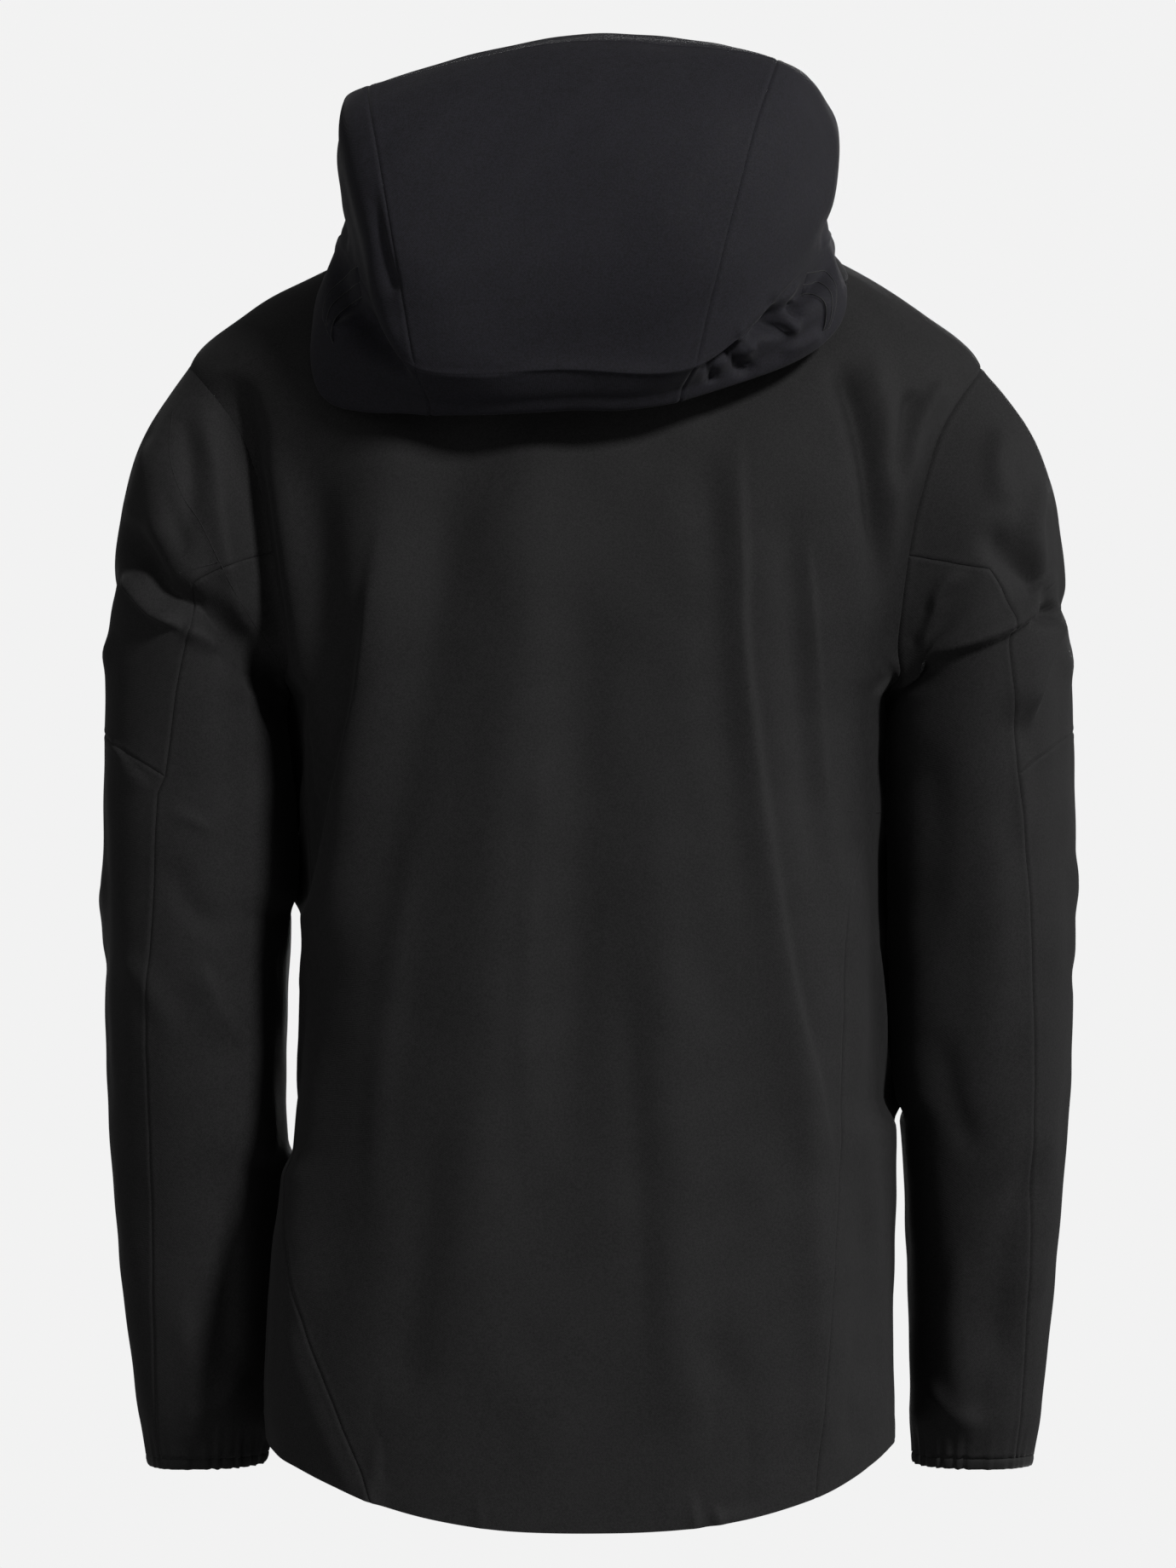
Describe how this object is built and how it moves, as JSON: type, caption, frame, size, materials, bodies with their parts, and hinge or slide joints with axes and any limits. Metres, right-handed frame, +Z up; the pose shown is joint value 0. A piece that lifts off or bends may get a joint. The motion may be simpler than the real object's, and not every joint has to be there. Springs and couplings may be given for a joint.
{
  "type": "hardshell jacket",
  "caption": "Hooded waterproof hardshell jacket zipped up, with the hood down, articulated sleeves, front, chest and hand pocket zips, and cord locks.",
  "frame": {"origin": "middle of the hanger loop's eye, at the back neck seam", "axes": "+Z up, from hem to hood; the wearer faces -Y, so the back and hood are towards +Y; +X is the wearer's left"},
  "size_m": [0.5946, 0.3225, 0.889],
  "materials": {
    "shell_fabric": "laminated three-layer woven face, matt black, durable water repellent",
    "hood_fabric": "the same laminate, catching a slightly cooler light on the hood",
    "binding": "elastic binding and woven tape, matt black",
    "lining": "thin woven backer and brushed tricot, dark grey",
    "zip_tape": "polyurethane film over coil zip tape, satin black",
    "zip_metal": "black painted zinc alloy",
    "hardware": "moulded acetal, fine spark texture",
    "cord": "braided elastic cord"
  },
  "bodies": {
    "shell": {"back_panel": "shell_fabric", "side_panel_left": "shell_fabric", "side_panel_right": "shell_fabric", "front_panel_left": "shell_fabric", "front_panel_right": "shell_fabric", "sleeve_under_left": "shell_fabric", "sleeve_under_right": "shell_fabric", "sleeve_upper_left": "shell_fabric", "sleeve_upper_right": "shell_fabric", "sleeve_forearm_left": "shell_fabric", "sleeve_forearm_right": "shell_fabric", "cuff_binding_left": "binding", "cuff_binding_right": "binding", "collar": "shell_fabric", "hood_centre_panel": "hood_fabric", "hood_brim": "hood_fabric", "hood_side_left": "hood_fabric", "hood_side_right": "hood_fabric", "hood_edge_tunnel_left": "binding", "hood_edge_tunnel_right": "binding", "front_zip_tape_left": "zip_tape", "front_zip_tape_right": "zip_tape", "front_zip_box": "hardware", "storm_flap": "lining", "chin_guard": "lining", "hand_pocket_zip_left": "zip_tape", "hand_pocket_zip_right": "zip_tape", "chest_pocket_zip": "zip_tape", "hand_pocket_bag_left": "lining", "hand_pocket_bag_right": "lining", "chest_pocket_bag": "lining", "hem_facing": "binding", "hem_drawcord": "cord", "hem_cord_lock_left": "hardware", "hem_cord_lock_right": "hardware", "hood_cord_lock_left": "hardware", "hood_cord_lock_right": "hardware", "neck_facing": "lining", "hanger_loop": "binding", "seam_tape_left": "binding", "seam_tape_right": "binding"},
    "front_zip_slider": {"front_zip_slider": "zip_metal"},
    "front_zip_pull": {"front_zip_pull": "hardware"},
    "hand_pocket_left_slider": {"hand_pocket_left_slider": "zip_metal"},
    "hand_pocket_left_pull": {"hand_pocket_left_pull": "hardware"},
    "hand_pocket_right_slider": {"hand_pocket_right_slider": "zip_metal"},
    "hand_pocket_right_pull": {"hand_pocket_right_pull": "hardware"},
    "chest_pocket_slider": {"chest_pocket_slider": "zip_metal"},
    "chest_pocket_pull": {"chest_pocket_pull": "hardware"},
    "hem_cord_lock_button_left": {"hem_cord_lock_button_left": "hardware"},
    "hem_cord_lock_button_right": {"hem_cord_lock_button_right": "hardware"},
    "hood_cord_lock_button_left": {"hood_cord_lock_button_left": "hardware"},
    "hood_cord_lock_button_right": {"hood_cord_lock_button_right": "hardware"}
  },
  "joints": [
    {"name": "front_zip_slide", "type": "slide", "parent": "shell", "child": "front_zip_slider", "axis": [0, -0.0847, -0.9964], "range_m": [0, 0.738]},
    {"name": "front_zip_pull_swing", "type": "hinge", "parent": "front_zip_slider", "child": "front_zip_pull", "pos_m": [0, -0.14147, 0.04634], "axis": [-1, 0, 0], "range_deg": [0, 170]},
    {"name": "hand_pocket_left_slide", "type": "slide", "parent": "shell", "child": "hand_pocket_left_slider", "axis": [0.1439, -0.0217, -0.9894], "range_m": [0, 0.138]},
    {"name": "hand_pocket_left_pull_swing", "type": "hinge", "parent": "hand_pocket_left_slider", "child": "hand_pocket_left_pull", "pos_m": [0.10071, -0.17213, -0.45852], "axis": [-0.9104, -0.3949, -0.1237], "range_deg": [0, 170]},
    {"name": "hand_pocket_right_slide", "type": "slide", "parent": "shell", "child": "hand_pocket_right_slider", "axis": [-0.1439, -0.0217, -0.9894], "range_m": [0, 0.138]},
    {"name": "hand_pocket_right_pull_swing", "type": "hinge", "parent": "hand_pocket_right_slider", "child": "hand_pocket_right_pull", "pos_m": [-0.10071, -0.17213, -0.45852], "axis": [-0.9104, 0.3949, 0.1237], "range_deg": [0, 170]},
    {"name": "chest_pocket_slide", "type": "slide", "parent": "shell", "child": "chest_pocket_slider", "axis": [0, -0.0718, -0.9974], "range_m": [0, 0.101]},
    {"name": "chest_pocket_pull_swing", "type": "hinge", "parent": "chest_pocket_slider", "child": "chest_pocket_pull", "pos_m": [0.07252, -0.15915, -0.18966], "axis": [-0.9924, -0.1225, 0.0088], "range_deg": [0, 170]},
    {"name": "hem_cord_lock_button_left_press", "type": "slide", "parent": "shell", "child": "hem_cord_lock_button_left", "axis": [0, 0, -1], "range_m": [0, 0.003], "stiffness_N_per_m": 400, "springref_m": -0.002},
    {"name": "hem_cord_lock_button_right_press", "type": "slide", "parent": "shell", "child": "hem_cord_lock_button_right", "axis": [0, 0, -1], "range_m": [0, 0.003], "stiffness_N_per_m": 400, "springref_m": -0.002},
    {"name": "hood_cord_lock_button_left_press", "type": "slide", "parent": "shell", "child": "hood_cord_lock_button_left", "axis": [0.1103, -0.4195, -0.901], "range_m": [0, 0.003], "stiffness_N_per_m": 400, "springref_m": -0.002},
    {"name": "hood_cord_lock_button_right_press", "type": "slide", "parent": "shell", "child": "hood_cord_lock_button_right", "axis": [-0.1103, -0.4195, -0.901], "range_m": [0, 0.003], "stiffness_N_per_m": 400, "springref_m": -0.002}
  ]
}
